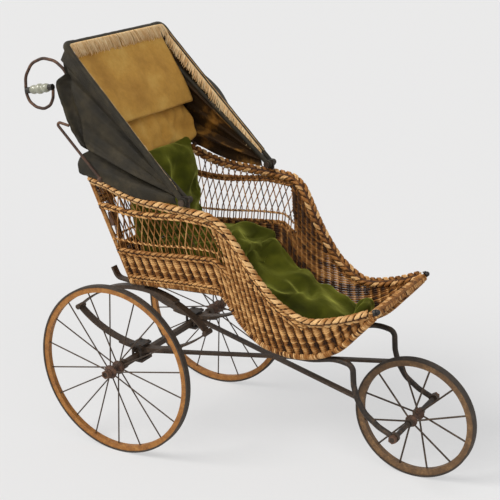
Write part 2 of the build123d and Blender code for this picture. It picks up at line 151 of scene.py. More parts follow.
def smooth_curve(table, xs):
    """Monotone cubic through a table of (x, a, b, ...) rows, one column per value."""
    t = np.asarray(table, float)
    x, f = t[:, 0], t[:, 1:]
    h = np.diff(x)[:, None]
    d = np.diff(f, axis=0) / h
    m = np.zeros_like(f)
    m[0], m[-1] = d[0], d[-1]
    same = d[:-1] * d[1:] > 0
    w1, w2 = 2 * h[1:] + h[:-1], h[1:] + 2 * h[:-1]
    m[1:-1] = np.where(same, (w1 + w2) / (w1 / np.where(same, d[:-1], 1) + w2 / np.where(same, d[1:], 1)), 0)
    xs = np.asarray(xs, float)
    k = np.clip(np.searchsorted(x, xs) - 1, 0, len(x) - 2)
    s = np.clip((xs - x[k]) / h[k, 0], 0, 1)[:, None]
    hk = h[k]
    return ((1 + 2 * s) * (1 - s) ** 2 * f[k] + s * (1 - s) ** 2 * hk * m[k]
            + s * s * (3 - 2 * s) * f[k + 1] + s * s * (s - 1) * hk * m[k + 1])


def resample(points, step):
    """The same line with points about step apart."""
    p = np.asarray(points, float)
    s = np.concatenate([[0], np.cumsum(np.linalg.norm(np.diff(p, axis=0), axis=1))])
    t = np.linspace(0, s[-1], max(2, int(round(s[-1] / step)) + 1))
    return np.stack([np.interp(t, s, p[:, i]) for i in range(3)], 1)


def add_object(name, verts, faces, body, material, tone=None, also=()):
    """A mesh object in the shared frame that rides on a body. tone is a shade per vertex, from 0 to 1."""
    mesh = bpy.data.meshes.new(name)
    mesh.from_pydata(to_row(verts).tolist(), [], faces)
    mesh.polygons.foreach_set("use_smooth", [True] * len(mesh.polygons))
    if tone is not None:
        layer = mesh.attributes.new("tone", "FLOAT", "POINT")
        layer.data.foreach_set("value", np.asarray(tone, np.float32))
    mesh.validate()
    mesh.update()
    obj = bpy.data.objects.new(name, mesh)
    bpy.context.scene.collection.objects.link(obj)
    for m in (material, *also):
        mesh.materials.append(m)
    if body:
        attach(obj, body)
    return obj


class Strands:
    """Collects round canes, cords and threads, then makes one mesh of them."""

    def __init__(self, sides=5):
        self.sides = sides
        self.verts = []
        self.faces = []
        self.tone = []
        self.count = 0

    def add(self, points, radius, tone=0.5, normal=(0, 0, 1)):
        """A tube along points. radius may change along it, and normal is any direction across it."""
        p = np.asarray(points, float)
        if len(p) < 2:
            return
        t = unit(np.gradient(p, axis=0))
        n = np.broadcast_to(np.asarray(normal, float), p.shape)
        n = n - (n * t).sum(1, keepdims=True) * t
        weak = np.linalg.norm(n, axis=1) < 1e-3
        n[weak] = np.cross(t[weak], (0.31, 0.95, 0.05))
        n = unit(n)
        b = np.cross(t, n)
        a = np.arange(self.sides) * 2 * math.pi / self.sides
        r = np.broadcast_to(np.asarray(radius, float), (len(p),))[:, None, None]
        spoke = np.cos(a)[None, :, None] * n[:, None] + np.sin(a)[None, :, None] * b[:, None]
        ring = p[:, None] + r * spoke
        k, c = self.sides, self.count
        self.verts.append(ring.reshape(-1, 3))
        shade = np.broadcast_to(np.asarray(tone, float), (len(p),)) + 0.05 * RNG.standard_normal(len(p))
        self.tone.append(shade.repeat(k))
        i = np.arange(len(p) - 1)[:, None] * k + c
        j = np.arange(k)[None, :]
        quads = np.stack([i + j, i + (j + 1) % k, i + k + (j + 1) % k, i + k + j], -1).reshape(-1, 4)
        self.faces += quads.tolist()
        self.faces.append([c + m for m in reversed(range(k))])
        self.faces.append([c + (len(p) - 1) * k + m for m in range(k)])
        self.count += len(p) * k

    def build(self, name, body, slot, material):
        tone = np.clip(np.concatenate(self.tone), 0, 1)
        return add_object(name, np.concatenate(self.verts), self.faces, body, material, tone)


def grid_faces(rows, cols):
    i = np.arange(rows - 1)[:, None] * cols
    j = np.arange(cols - 1)[None, :]
    return np.stack([i + j, i + j + 1, i + cols + j + 1, i + cols + j], -1).reshape(-1, 4).tolist()


def sheet_object(name, points, outer, inner, thick):
    """A cloth sheet from a grid of points (rows, columns, 3), with another finish on its inner side."""
    rows, cols = points.shape[:2]
    obj = add_object(name, points.reshape(-1, 3), grid_faces(rows, cols), None, outer, also=(inner,))
    solid = obj.modifiers.new("thickness", "SOLIDIFY")
    solid.thickness = thick * MM
    solid.offset = 0
    solid.material_offset = 1
    solid.material_offset_rim = 0
    return obj


def tube_faces(rows, cols):
    """Faces of a tube given as rows of rings."""
    faces = []
    for i in range(rows - 1):
        for j in range(cols):
            k = (j + 1) % cols
            faces.append((i * cols + j, i * cols + k, (i + 1) * cols + k, (i + 1) * cols + j))
    return faces


def rough(x, y, z, seed):
    """Smooth noise from -1 to 1 at a point."""
    return noise.noise(Vector((x + seed, y - 2 * seed, z + 3 * seed)))


# Materials

def colour(r, g, b):
    """An sRGB colour, 0 to 255, as the linear one that a shader takes."""
    def one(c):
        c /= 255
        return c / 12.92 if c <= 0.04045 else ((c + 0.055) / 1.055) ** 2.4
    return (one(r), one(g), one(b), 1.0)


class Finish:
    """One procedural material: a Principled shader and the nodes that feed it."""

    def __init__(self, name, roughness=0.6, metallic=0.0, **sockets):
        self.mat = bpy.data.materials.new(name)
        self.mat.use_nodes = True
        self.tree = self.mat.node_tree
        self.shader = self.tree.nodes["Principled BSDF"]
        self.shader.inputs["Roughness"].default_value = roughness
        self.shader.inputs["Metallic"].default_value = metallic
        for key, value in sockets.items():
            self.shader.inputs[key.replace("_", " ")].default_value = value
        self.where = self.node("ShaderNodeTexCoord").outputs["Object"]

    def node(self, kind, **inputs):
        n = self.tree.nodes.new(kind)
        for key, value in inputs.items():
            self.feed(n.inputs[key], value)
        return n

    def feed(self, socket, value):
        if isinstance(value, bpy.types.NodeSocket):
            self.tree.links.new(value, socket)
        else:
            socket.default_value = value

    def noise(self, scale, detail=4.0, rough=0.55, stretch=(1, 1, 1)):
        mapped = self.node("ShaderNodeMapping", Vector=self.where)
        mapped.inputs["Scale"].default_value = stretch
        n = self.node("ShaderNodeTexNoise", Vector=mapped.outputs[0])
        n.inputs["Scale"].default_value = scale
        n.inputs["Detail"].default_value = detail
        n.inputs["Roughness"].default_value = rough
        return n.outputs["Fac"]

    def ramp(self, fac, *stops):
        n = self.node("ShaderNodeValToRGB", Fac=fac)
        ends = n.color_ramp.elements
        while len(ends) < len(stops):
            ends.new(0.5)
        for e, (pos, col) in zip(ends, stops):
            e.position = pos
            e.color = col
        return n.outputs["Color"]

    def math(self, op, a, b):
        n = self.node("ShaderNodeMath")
        n.operation = op
        self.feed(n.inputs[0], a)
        self.feed(n.inputs[1], b)
        return n.outputs[0]

    def mix(self, fac, a, b, mode="MIX"):
        n = self.node("ShaderNodeMix")
        n.data_type = "RGBA"
        n.blend_type = mode
        self.feed(n.inputs["Factor"], fac)
        self.feed(n.inputs[6], a)
        self.feed(n.inputs[7], b)
        return n.outputs[2]

    def attribute(self, name):
        n = self.node("ShaderNodeAttribute")
        n.attribute_name = name
        return n.outputs["Fac"]

    def wave(self, scale, axis, distortion):
        n = self.node("ShaderNodeTexWave", Vector=self.where)
        n.bands_direction = axis
        n.inputs["Scale"].default_value = scale
        n.inputs["Distortion"].default_value = distortion
        n.inputs["Detail"].default_value = 1.0
        return n.outputs["Fac"]

    def edges(self):
        """Bright on worn corners and edges."""
        return self.node("ShaderNodeNewGeometry").outputs["Pointiness"]

    def bump(self, height, distance, strength=0.6):
        n = self.node("ShaderNodeBump", Height=height)
        n.inputs["Strength"].default_value = strength
        n.inputs["Distance"].default_value = distance
        self.tree.links.new(n.outputs["Normal"], self.shader.inputs["Normal"])

    def paint(self, col):
        self.feed(self.shader.inputs["Base Color"], col)

    def gloss(self, fac, low, high):
        n = self.node("ShaderNodeMapRange", Value=fac)
        n.inputs["To Min"].default_value = low
        n.inputs["To Max"].default_value = high
        self.tree.links.new(n.outputs[0], self.shader.inputs["Roughness"])


def metal_finish(name, dark, mid, light, roughness, metallic, scale=70):
    f = Finish(name, roughness, metallic)
    patches = f.noise(scale, 8, 0.65)
    base = f.ramp(patches, (0.32, dark), (0.52, mid), (0.72, light))
    worn = f.ramp(f.edges(), (0.51, (0, 0, 0, 1)), (0.58, (1, 1, 1, 1)))
    f.paint(f.mix(f.math("MULTIPLY", worn, 0.35), base, light))
    f.gloss(f.noise(scale * 4, 4), roughness - 0.15, roughness + 0.2)
    f.bump(f.noise(scale * 9, 5), 0.0006, 0.5)
    return f.mat


def painted_finish(name, dark, mid, light, chip):
    f = Finish(name, 0.55)
    base = f.ramp(f.noise(55, 8, 0.7), (0.30, dark), (0.50, mid), (0.70, light))
    grain = f.ramp(f.noise(260, 5, 0.7), (0.35, (0.62, 0.62, 0.62, 1)), (0.65, (1, 1, 1, 1)))
    coat = f.mix(0.8, base, grain, "MULTIPLY")
    chips = f.ramp(f.noise(120, 9, 0.75), (0.60, (0, 0, 0, 1)), (0.66, (1, 1, 1, 1)))
    f.paint(f.mix(f.math("MULTIPLY", chips, 0.75), coat, chip))
    f.gloss(f.noise(90, 4), 0.42, 0.75)
    f.bump(f.noise(420, 5), 0.0005, 0.4)
    return f.mat


def cane_finish(name, dark, mid, light):
    f = Finish(name, 0.6, Specular_IOR_Level=0.25)
    patches = f.math("SUBTRACT", f.noise(38, 5), 0.5)
    tone = f.math("ADD", f.attribute("tone"), f.math("MULTIPLY", patches, 0.9))
    base = f.ramp(tone, (0.08, dark), (0.45, mid), (0.95, light))
    fibre = f.ramp(f.noise(900, 3), (0.3, (0.7, 0.66, 0.62, 1)), (0.6, (1, 1, 1, 1)))
    f.paint(f.mix(0.55, base, fibre, "MULTIPLY"))
    f.gloss(f.noise(160, 3), 0.5, 0.75)
    f.bump(f.noise(1400, 3), 0.0003, 0.4)
    return f.mat


def woven_finish(name, dark, mid, light):
    """Close weave for the flat floor, as crossing canes."""
    f = Finish(name, 0.55)
    rows = f.wave(26, "X", 0.8)
    stakes = f.wave(11, "Y", 0.6)
    height = f.math("MULTIPLY", rows, f.math("ADD", f.math("MULTIPLY", stakes, 0.6), 0.4))
    # The colour follows the height of the weave: darker in its hollows is painted shade, lighter on the
    # canes a painted highlight.
    base = f.ramp(f.math("ADD", height, f.math("MULTIPLY", f.math("SUBTRACT", f.noise(40, 4), 0.5), 0.8)),
                  (0.1, dark), (0.45, mid), (0.95, light))
    f.paint(base)
    f.bump(height, 0.003, 0.9)
    return f.mat


def cloth_finish(name, dark, mid, light, roughness, threads, scale=18, stain=0.5, **sockets):
    f = Finish(name, roughness, **sockets)
    base = f.ramp(f.noise(scale, 8, 0.62), (0.30, dark), (0.50, mid), (0.72, light))
    fine = f.ramp(f.noise(scale * 14, 4, 0.7), (0.3, (0.66, 0.64, 0.60, 1)), (0.65, (1, 1, 1, 1)))
    f.paint(f.mix(stain, base, fine, "MULTIPLY"))
    weave = f.math("ADD", f.wave(threads, "Y", 0.3), f.wave(threads, "Z", 0.3))
    creases = f.noise(scale * 5, 6, 0.6)
    f.bump(f.math("ADD", f.math("MULTIPLY", weave, 0.12), creases), 0.002, 0.55)
    f.gloss(f.noise(scale * 3, 4), roughness - 0.12, min(1.0, roughness + 0.1))
    return f.mat


def velvet_finish():
    f = Finish("velvet", 0.85, Specular_IOR_Level=0.12, Sheen_Weight=1.0, Sheen_Roughness=0.4,
               Sheen_Tint=colour(200, 204, 96))
    nap = f.noise(11, 3, 0.5, (1, 1, 1.6))
    base = f.ramp(nap, (0.28, colour(42, 45, 3)), (0.5, colour(68, 71, 8)), (0.72, colour(98, 100, 24)))
    pile = f.ramp(f.noise(700, 3), (0.3, (0.78, 0.78, 0.72, 1)), (0.65, (1, 1, 1, 1)))
    f.paint(f.mix(0.5, base, pile, "MULTIPLY"))
    f.bump(f.math("ADD", f.math("MULTIPLY", f.noise(900, 3), 0.08), f.noise(24, 3)), 0.005, 0.5)
    return f.mat


def ceramic_finish():
    f = Finish("ceramic", 0.16, Coat_Weight=0.6, Coat_Roughness=0.05)
    glaze = f.ramp(f.noise(60, 6), (0.3, colour(124, 126, 106)), (0.52, colour(160, 160, 140)),
                   (0.75, colour(198, 196, 178)))
    craze = f.ramp(f.noise(420, 8, 0.8), (0.62, (1, 1, 1, 1)), (0.70, (0.72, 0.66, 0.55, 1)))
    f.paint(f.mix(0.6, glaze, craze, "MULTIPLY"))
    f.bump(f.noise(120, 3), 0.0004, 0.3)
    return f.mat


def shades(*colours):
    """Linear colours of a dark, a middle and a light shade, and more."""
    return [colour(*c) for c in colours]


FINISHES = {
    "tyre": metal_finish("tyre", *shades((26, 23, 20), (44, 38, 33), (78, 66, 54)), 0.8, 0.0, 60),
    "wheel_rim": painted_finish("wheel_rim", *shades((134, 84, 34), (166, 108, 44), (190, 134, 66),
                                                     (72, 48, 28))),
    "front_rim": painted_finish("front_rim", *shades((84, 60, 36), (114, 84, 52), (152, 116, 74),
                                                     (48, 36, 28))),
    "iron": metal_finish("iron", *shades((30, 25, 21), (48, 40, 33), (92, 72, 54)), 0.55, 0.35),
    "rusty_iron": metal_finish("rusty_iron", *shades((46, 33, 26), (78, 55, 42), (124, 90, 67)), 0.68, 0.2),
    "wicker": cane_finish("wicker", *shades((52, 29, 9), (152, 99, 44), (228, 178, 114))),
    "wicker_pale": cane_finish("wicker_pale", *shades((66, 37, 13), (168, 112, 54), (238, 194, 134))),
    "wicker_floor": woven_finish("wicker_floor", *shades((58, 36, 18), (128, 90, 52), (186, 144, 96))),
    "velvet": velvet_finish(),
    "oilcloth": cloth_finish("oilcloth", *shades((24, 20, 11), (42, 36, 22), (70, 61, 42)), 0.62, 900,
                             Specular_IOR_Level=0.3),
    "lining": cloth_finish("lining", *shades((178, 128, 50), (208, 156, 68), (228, 184, 96)), 0.88, 620,
                           9, 0.3),
    # Inner face of the hood cloth: its dark shades are painted shade inside the hood, and its ochre light
    # shade is a painted reflection along the folds.
    "hood_inside_shade_and_sheen": cloth_finish("hood_inside_shade_and_sheen", *shades((20, 13, 6), (58, 38, 14), (214, 150, 62)), 0.6, 620,
                                7, Specular_IOR_Level=0.2),
    "piping": cloth_finish("piping", *shades((128, 94, 54), (186, 150, 100), (220, 190, 144)), 0.8, 700, 40),
    "fringe": cane_finish("fringe", *shades((168, 122, 70), (230, 188, 130), (248, 224, 178))),
    "ceramic": ceramic_finish(),
    "black_metal": metal_finish("black_metal", *shades((16, 15, 14), (27, 25, 23), (60, 54, 47)), 0.42, 0.3),
}


# Wicker basket

def rim_line(x):
    zy = smooth_curve(RIM, np.clip(x, RIM[0][0], RIM[-1][0]))
    return zy[:, 0], zy[:, 1]


def bottom_line(x):
    """Bottom edge. Behind its rear end it goes on in a straight line, up to the slanted rear edge."""
    zy = smooth_curve(BOTTOM, np.clip(x, BOTTOM[0][0], BOTTOM[-1][0]))
    behind = np.minimum(x - BOTTOM[0][0], 0)
    return zy[:, 0] + 0.05 * behind, zy[:, 1]


def wall_height(x):
    return rim_line(x)[0] - bottom_line(x)[0]


def side_points(side, x, v):
    """Points of a side wall: x along it, and v from 0 at the bottom to 1 at the rim."""
    x = np.asarray(x, float)
    zt, yt = rim_line(x)
    zb, yb = bottom_line(x)
    return np.stack([x, side * (yb + (yt - yb) * v), zb + (zt - zb) * v], 1)


def side_normals(side, x, v):
    along = side_points(side, x + 1, v) - side_points(side, x - 1, v)
    up = side_points(side, x, v + 0.01) - side_points(side, x, v - 0.01)
    n = unit(np.cross(along, up))
    return n * np.sign(n[:, 1:2]) * side


def rear_edge_x(v):
    """Where the row at height v meets the slanted rear edge."""
    x = -40.0
    slant = REAR_TOP[0] - REAR_BOTTOM[0]
    for _ in range(12):
        z = side_points(1, [x], v)[0, 2]
        x = REAR_BOTTOM[0] + slant * (z - REAR_BOTTOM[1]) / (REAR_TOP[1] - REAR_BOTTOM[1])
    return x


def low_band(x):
    return 0.345 + 0.095 * np.clip(x, -60, 330) / 290


def top_band(x):
    """Upper plaited band: it rises to the rim at the shoulder and then runs beside it."""
    return np.minimum(0.80 + 0.163 * np.clip(x, -70, 290) / 290, 1 - 19 / wall_height(x))


def lattice_front(v):
    return 345 - (v - 0.44) * 87


STATIONS = np.linspace(-90, 757, 400)
MIDDLE = side_points(1, STATIONS, 0.5)
MIDDLE_LEN = np.concatenate([[0], np.cumsum(np.linalg.norm(np.diff(MIDDLE[:, [0, 2]], axis=0), axis=1))])


def stake_phase(x, z):
    """Length along the wall, slanted so that the stakes stand parallel to the rear edge."""
    zb, _ = bottom_line(x)
    return np.interp(x, STATIONS, MIDDLE_LEN) + 0.234 * (z - zb)


def woven_row(strands, side, rise, x0, x1, tone):
    """One weaver, in and out of the stakes, at a height above the bottom edge."""
    if x1 - x0 < 12:
        return
    x = np.linspace(x0, x1, 160)
    base = resample(side_points(side, x, rise / wall_height(x)), CANE_STEP)
    x = base[:, 0]
    v = rise / wall_height(x)
    out = side_normals(side, x, v)
    wave = np.cos(2 * math.pi * stake_phase(x, base[:, 2]) / STAKE_PITCH)
    crest = 2 * ((1 + wave) / 2) ** 1.5 - 1
    radius = np.interp(x, (400, 460), (CANE_R, CANE_R - 0.4))
    # The tone follows the weave: lighter where the weaver stands out is a painted highlight, darker in the
    # hollows between stakes is painted shade.
    strands.add(base + out * (WEAVE_DEPTH * crest)[:, None], radius, tone + 0.32 * crest, out)


def herringbone(strands, path, normals, half, cane, lean):
    """Short canes laid from the middle of a bar to both of its edges."""
    ahead = unit(np.gradient(path, axis=0))
    across = np.cross(ahead, normals)
    f = np.linspace(0, 1, 6)[:, None]
    for p, a, c, n in zip(path, ahead, across, normals):
        for way in (-1, 1):
            reach = c * way * half * f - a * lean * f + n * 4.0 * np.cos(f * 1.5)
            strands.add(p + a * way * 1.3 + reach, cane, 0.5 + 0.2 * RNG.standard_normal(), n)


def leaning_stakes(strands, side):
    """Dark stakes in the hollows of the close weave."""
    heights = np.linspace(0.02, 0.97, 24)
    table = [stake_phase(STATIONS, side_points(1, STATIONS, v)[:, 2]) for v in heights]
    for k in range(60):
        target = (k + 0.5) * STAKE_PITCH
        path = []
        for v, row in zip(heights, table):
            x = float(np.interp(target, row, STATIONS, left=-999, right=999))
            if x > 735 or x < rear_edge_x(v) + 3 or (v > low_band(x) and x < lattice_front(v)):
                continue
            path.append(side_points(side, np.array([x]), v)[0])
        if len(path) > 3:
            strands.add(resample(path, 14.0), 1.9, 0.12, (0, side, 0))


def spans(x, inside):
    """Runs of x where inside is true."""
    runs, start = [], None
    for i, ok in enumerate(inside):
        if ok and start is None:
            start = i
        if not ok and start is not None:
            runs.append((x[start], x[i - 1]))
            start = None
    if start is not None:
        runs.append((x[start], x[-1]))
    return runs


def plait(strands, path, normals, half, cane, pitch, tone):
    """A flat plait of three strands, each of three canes side by side, over a dark core."""
    s = np.concatenate([[0], np.cumsum(np.linalg.norm(np.diff(path, axis=0), axis=1))])
    across = unit(np.cross(unit(np.gradient(path, axis=0)), normals))
    strands.add(path[::2], half * 0.62, tone - 0.45, normals[::2])
    for k in range(3):
        lead = 0.14 * RNG.standard_normal()
        for shift in (-0.42, 0.0, 0.42):
            a = 2 * math.pi * (s / pitch + k / 3) + shift
            off = across * (half * np.sin(a))[:, None] + normals * (0.52 * half * np.sin(2 * a))[:, None]
            # The random terms are real tone; the sin(2a) term is painted shade where a strand dives under
            # and a painted highlight where it rides over.
            shade = tone + lead + 0.10 * RNG.standard_normal() + 0.16 * np.sin(2 * a)
            strands.add(path + off, cane, shade, normals)


def pairing(strands, path, normals, half, cane, pitch):
    """A pale and a dark thin cane twisted round each other."""
    s = np.concatenate([[0], np.cumsum(np.linalg.norm(np.diff(path, axis=0), axis=1))])
    across = unit(np.cross(unit(np.gradient(path, axis=0)), normals))
    for k, tone in enumerate((1.0, 0.35)):
        a = 2 * math.pi * s / pitch + math.pi * k
        off = across * (half * np.sin(a))[:, None] + normals * (half * np.cos(a))[:, None]
        strands.add(path + off, cane, tone, normals)


def wall(side):
    """One woven side of the basket with its bands, lattice and bottom border."""
    s = Strands()
    height = wall_height(STATIONS)
    for rise in np.arange(3.0, 290.0, ROW_PITCH):
        v = rise / height
        needed = (v < 0.97) & (STATIONS > rear_edge_x(min(0.95, rise / 309)) + 2)
        needed &= (v < low_band(STATIONS)) | (STATIONS > lattice_front(v))
        tone = 0.46 + 0.18 * RNG.standard_normal()
        for x0, x1 in spans(STATIONS, needed):
            woven_row(s, side, rise, x0, x1, tone)
    leaning_stakes(s, side)
    lattice(s, side)
    for band, end in ((low_band, 345), (top_band, 560)):
        x = np.linspace(rear_edge_x(float(band(np.array([-50.0]))[0])) + 1, end, 240)
        p = resample(side_points(side, x, band(x)), 3.5)
        n = side_normals(side, p[:, 0], 0.6)
        plait(s, p + n * 3.5, n, BAND_HALF, 2.3, 56.0, 0.62)
    x = np.linspace(-8, 296, 120)
    p = resample(side_points(side, x, 17 / wall_height(x)), 3.5)
    n = side_normals(side, p[:, 0], 0.1)
    plait(s, p + n * 3.5, n, 7.0, 2.0, 48.0, 0.6)
    bar = np.linspace(-45, 330, 160)
    vb = low_band(bar) + 0.25 * (top_band(bar) - low_band(bar))
    p = resample(side_points(side, bar, vb), 3.5)
    pairing(s, p, side_normals(side, p[:, 0], 0.5), 2.4, 1.9, 19.0)
    edge = np.stack([np.linspace(REAR_BOTTOM[0], REAR_TOP[0], 60),
                     side * np.linspace(REAR_BOTTOM[2], REAR_TOP[2], 60),
                     np.linspace(REAR_BOTTOM[1], REAR_TOP[1], 60)], 1)
    for shift in (-3.0, 3.0):
        s.add(edge + (shift, 0, 0), 3.4, 0.6, (0, side, 0))
    return s


def lattice(s, side):
    """Open work between the bands: upright pairs up to the thin bar, then canes that cross up to the rim."""
    ends = np.arange(-75.0, 345.0, LATTICE_PITCH / 2)
    for i, x in enumerate(ends):
        lean = LATTICE_LEAN * (1 if i % 2 else -1)
        f = np.linspace(0, 1, 16)
        path = []
        for part in f:
            up = max(0.0, (part - 0.25) / 0.75)
            xx = x - 8 * part + lean * up
            lo = float(low_band(np.array([xx]))[0])
            v = lo + (0.985 - lo) * part
            if xx < rear_edge_x(v) + 3 or xx > lattice_front(v):
                break
            path.append(side_points(side, [xx], v)[0] + (0, side * (2.2 if i % 2 else -2.2), 0))
        if len(path) > 3:
            s.add(resample(path, 9.0), LATTICE_R, 0.42 + 0.16 * RNG.standard_normal(), (0, side, 0))


def border(side):
    """Bottom border: a core wrapped closely with split cane."""
    x = np.linspace(BOTTOM[0][0], BOTTOM[-1][0], 300)
    core = resample(side_points(side, x, 0.0) + (0, 0, 2.0), 3.0)
    s = Strands(5)
    s.add(core[::3], 7.0, 0.2, (0, side, 0))
    length = np.concatenate([[0], np.cumsum(np.linalg.norm(np.diff(core, axis=0), axis=1))])
    turns = length[-1] / 5.4
    t = np.linspace(0, 1, int(turns * 10))
    path = np.stack([np.interp(t * length[-1], length, core[:, i]) for i in range(3)], 1)
    tangent = unit(np.gradient(path, axis=0))
    n = unit(np.cross(tangent, (0, 1, 0)))
    b = np.cross(tangent, n)
    a = 2 * math.pi * turns * t
    tone = 0.5 + 0.22 * np.repeat(RNG.standard_normal(int(turns) + 2), 10)[:len(t)]
    s.add(path + 7.6 * (np.cos(a)[:, None] * n + np.sin(a)[:, None] * b), 2.2, tone, tangent)
    return s


def rolled_edge(path, normals):
    """The thick plait of the rim."""
    s = Strands(6)
    plait(s, path, normals, RIM_HALF, 2.9, 64.0, 0.56)
    return s


for tag, side in (("right", -1), ("left", 1)):
    piece = wall(side).build("wicker_side_" + tag, "carriage", "wicker", FINISHES["wicker"])
    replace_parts(piece, "basket_side_" + tag)
    border(side).build("wicker_border_" + tag, "carriage", "wicker_pale", FINISHES["wicker_pale"])
    line = resample(side_points(side, np.linspace(RIM[0][0], RIM[-1][0] - 12, 300), 1.0), 3.5)
    above = unit(np.cross(unit(np.gradient(line, axis=0)), (0, -1.0, 0)))
    piece = rolled_edge(line, unit(above + (0, side * 1.1, 0))).build(
        "wicker_rim_" + tag, "carriage", "wicker_pale", FINISHES["wicker_pale"])
    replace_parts(piece, "basket_rim_" + tag)


# Basket back and the plaited edges across the basket

def back_point(s, v):
    """Back wall: s from -1 at the right to 1 at the left, v from the bottom to the rim."""
    return np.stack([REAR_BOTTOM[0] + (REAR_TOP[0] - REAR_BOTTOM[0]) * v + 0 * s,
                     s * (REAR_BOTTOM[2] + (REAR_TOP[2] - REAR_BOTTOM[2]) * v),
                     REAR_BOTTOM[1] + (REAR_TOP[1] - REAR_BOTTOM[1]) * v + 0 * s], -1)


def back_wall():
    """The woven back, with open work in its middle and a post behind each handle plate."""
    s = Strands()
    out = unit(np.array([-0.974, 0, -0.228]))
    across = np.linspace(-0.985, 0.985, 110)
    for j in range(1, 72):
        v = j / 72
        if 0.34 < v < 0.80 or v > 0.95:
            continue
        p = back_point(across, v)
        wave = np.cos(2 * math.pi * p[:, 1] / STAKE_PITCH)
        # Besides random tone, the wave term is a painted highlight on the crests and painted shade in the
        # hollows of the weave.
        tone = 0.5 + 0.2 * RNG.standard_normal() + 0.26 * wave
        s.add(p + out * (WEAVE_DEPTH * wave)[:, None], 2.3, tone, out)
    for side in (-1, 1):
        v = np.linspace(0.03, 0.97, 20)
        half = REAR_BOTTOM[2] + (REAR_TOP[2] - REAR_BOTTOM[2]) * v
        s.add(back_point(side * ARM_Y / half, v), 6.5, 0.35, out)
    for i, start in enumerate(np.linspace(-0.95, 0.95, 34)):
        lean = 0.11 * (1 if i % 2 else -1)
        f = np.linspace(0, 1, 12)
        pos = np.clip(start + lean * np.maximum(0, (f - 0.25) / 0.75), -0.97, 0.97)
        s.add(back_point(pos, 0.33 + 0.48 * f) + out * (2 if i % 2 else -2), LATTICE_R, 0.3, out)
    for v in (0.03, 0.345, 0.80):
        p = resample(back_point(np.linspace(-0.98, 0.98, 60), v), 3.5)
        plait(s, p + out * 3, np.broadcast_to(out, p.shape), BAND_HALF, 2.3, 56.0, 0.62)
    p = resample(back_point(np.linspace(-0.98, 0.98, 60), 0.45), 3.5)
    pairing(s, p, np.broadcast_to(out, p.shape), 2.4, 1.9, 19.0)
    return s


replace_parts(back_wall().build("wicker_back", "carriage", "wicker", FINISHES["wicker"]), "basket_back")
line = resample([(-85, -222, 795), (-85, 222, 795)], 3.5)
piece = rolled_edge(line, np.broadcast_to((0, 0, 1.0), line.shape)).build(
    "wicker_rim_back", "carriage", "wicker_pale", FINISHES["wicker_pale"])
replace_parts(piece, "basket_rim_back")
line = resample([(757, -166, 524), (757, 166, 524)], 4.2)
bar = Strands(6)
bar.add(line, 7.5, 0.3)
herringbone(bar, line, np.broadcast_to(unit(np.array((0.5, 0, 0.87))), line.shape), 12.0, 2.4, 7.0)
herringbone(bar, line, np.broadcast_to(unit(np.array((-0.5, 0, -0.87))), line.shape), 12.0, 2.4, 7.0)
piece = bar.build("wicker_front_roll", "carriage", "wicker_pale", FINISHES["wicker_pale"])
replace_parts(piece, "basket_front_roll")


# Hood

def bow_dir(deg):
    return np.array([-math.sin(math.radians(deg)), math.cos(math.radians(deg))])


MID_DIR = bow_dir(MID_DEG)
FRONT_DIR = bow_dir(FRONT_DEG)
AHEAD = np.array([FRONT_DIR[1], 0, -FRONT_DIR[0]])
MID_TOP = np.array(PIVOT) + MID_DIR * MID_LEN
FRONT_TOP = np.array(PIVOT) + FRONT_DIR * FRONT_LEN


def along(points, count):
    """count points evenly spread on a smooth line through (x, z) points."""
    p = np.asarray(points, float)
    s = np.concatenate([[0], np.cumsum(np.linalg.norm(np.diff(p, axis=0), axis=1))])
    return smooth_curve(np.column_stack([s, p]), np.linspace(0, s[-1], count))


def hood_shell():
    """Outer cloth of the folded hood: both cheeks and the back, as one sheet."""
    rows, radial, across = 84, 56, 40
    outline = along(HOOD_REAR, rows)
    rim_x = np.linspace(205, -92, radial)
    rim_z = rim_line(np.maximum(rim_x, -85))[0] + ROLL_R + 1 - 4 * np.exp(-((rim_x - 85) / 60) ** 2)
    b = np.linspace(0.09, 1.0, radial)
    s = np.linspace(-1, 1, across + 2)[1:-1]
    grid = []
    for i in range(rows):
        a = i / (rows - 1)
        near_rim = max(0.0, (a - 0.80) / 0.20) ** 1.3
        x = (PIVOT[0] + (outline[i][0] - PIVOT[0]) * b) * (1 - near_rim) + rim_x * near_rim
        z = (PIVOT[1] + (outline[i][1] - PIVOT[1]) * b) * (1 - near_rim) + rim_z * near_rim
        reach = np.hypot(x - PIVOT[0], z - PIVOT[1])
        angle = np.degrees(np.arctan2(PIVOT[0] - x, z - PIVOT[1]))
        y = 230 + (np.interp(angle, *zip(*CHEEK_FOLDS)) - 230) * np.clip(reach / 160, 0, 1)
        ridge = np.interp(angle, *zip(*CHEEK_RIDGE))
        y -= RIDGE_DEPTH * np.sin(math.pi * np.clip((b - ridge) / np.maximum(1 - ridge, 0.02), 0, 1))
        for k in range(radial):
            y[k] += 5.0 * rough(a * 7, b[k] * 3, 0.3, 4) * math.sin(math.pi * b[k])
            y[k] += 9.0 * max(0, b[k] - 0.70) * rough(a * 26, b[k] * 9, 1.7, 9)
        right = np.stack([x, -y, z], 1)
        width = y[-1] - 2
        arm = ARM_POINT[0] - (z[-1] - ARM_POINT[1]) * ARM_LEAN
        arm = arm - 40 * np.clip((np.abs(s) * width - ARM_CLEAR_Y) / 40, 0, 1)
        bx = x[-1] - 5.0 * (1 - np.abs(s) ** 6) * math.sin(math.pi * a)
        for k in range(across):
            bx[k] += 5.0 * rough(s[k] * 5, a * 4, 2.2, 3) * math.sin(math.pi * a)
        back = np.stack([np.maximum(bx, arm), s * width, np.full(across, z[-1])], 1)
        grid.append(np.concatenate([right, back, right[::-1] * (1, -1, 1)]))
    return np.array(grid)


